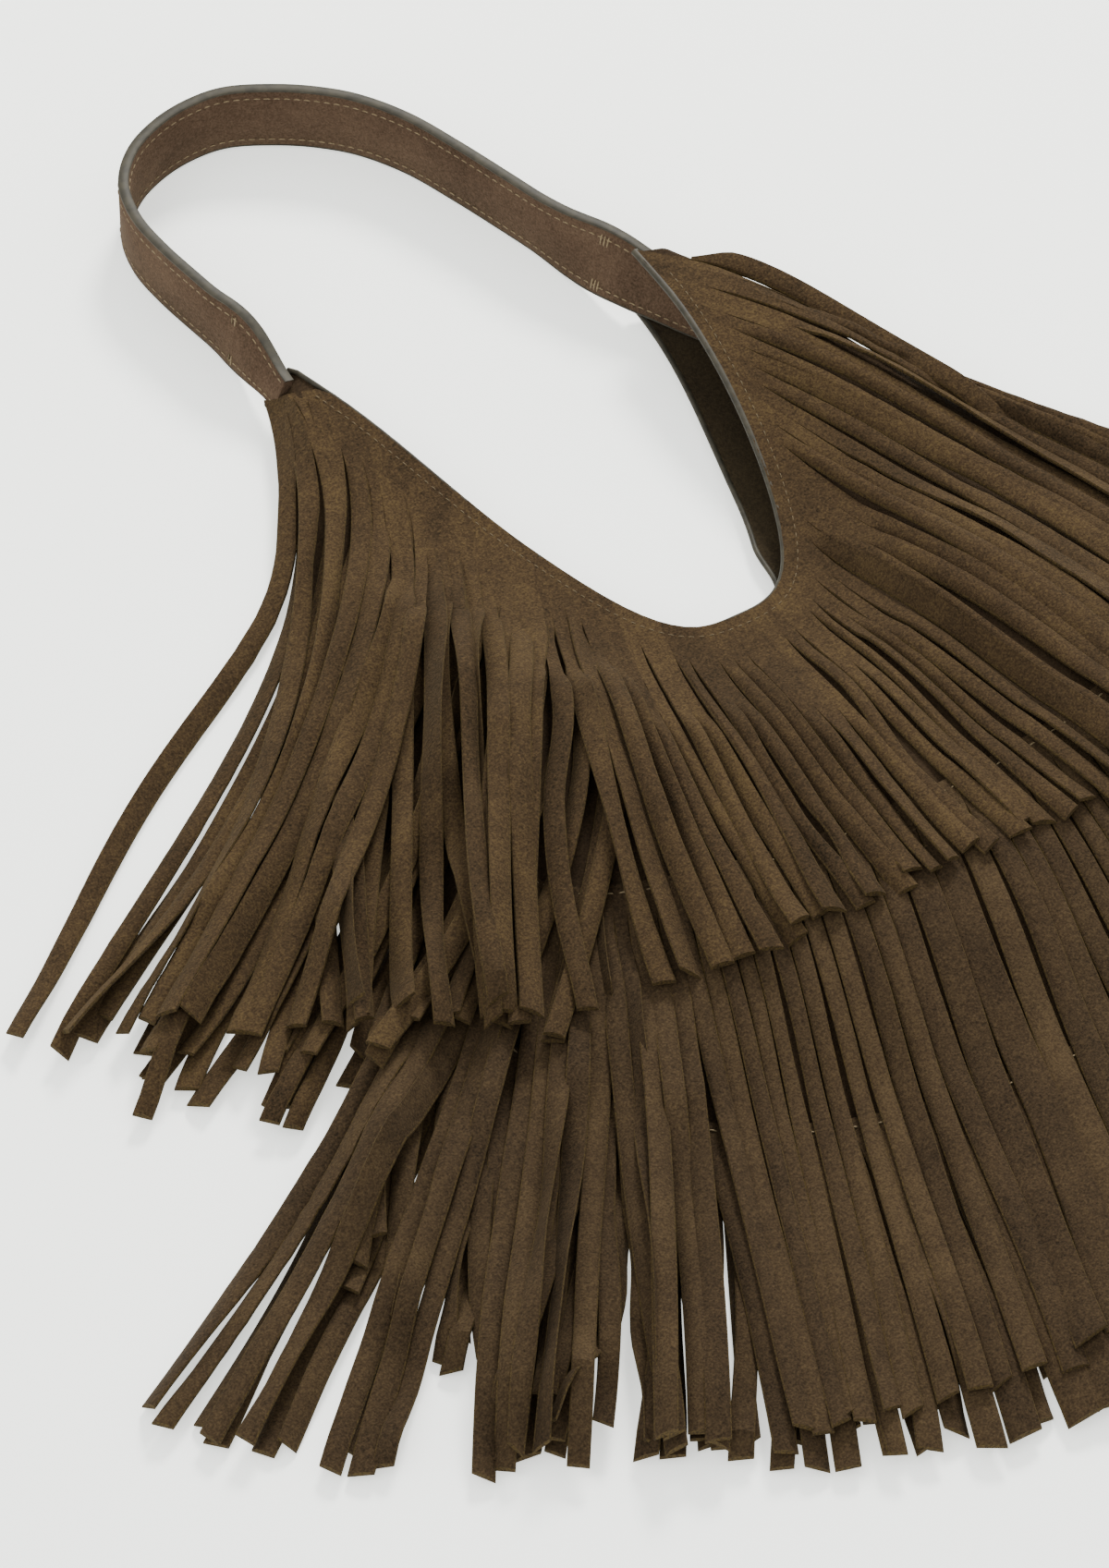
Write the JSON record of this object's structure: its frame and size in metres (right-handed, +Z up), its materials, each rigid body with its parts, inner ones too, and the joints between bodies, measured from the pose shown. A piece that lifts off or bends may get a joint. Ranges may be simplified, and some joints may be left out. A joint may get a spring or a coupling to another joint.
{
  "type": "fringed suede shoulder bag",
  "caption": "Soft half-moon suede shoulder bag with a U-shaped mouth, tiers of long cut fringe on both sides and one flat stitched strap, lying on its back.",
  "frame": {"origin": "middle of the bag's bounding box, on the surface it lies on", "axes": "+X across the bag, +Y from the hem towards the strap, +Z up from the surface"},
  "size_m": [0.5976, 0.624, 0.0445],
  "materials": {
    "panel_suede": "brown suede, raised nap",
    "fringe_suede": "olive brown suede, raised nap, raw cut edges",
    "strap_suede": "olive brown suede, painted edges",
    "thread": "waxed cream sewing thread",
    "edge_paint": "grey olive edge paint, satin"
  },
  "bodies": {
    "root": {"front_panel": "panel_suede", "back_panel": "panel_suede", "front_fringe_upper": "fringe_suede", "front_fringe_middle": "fringe_suede", "front_fringe_lower": "fringe_suede", "back_fringe_upper": "fringe_suede", "back_fringe_middle": "fringe_suede", "back_fringe_lower": "fringe_suede", "strap_outer": "strap_suede", "strap_lining": "strap_suede"}
  },
  "joints": []
}
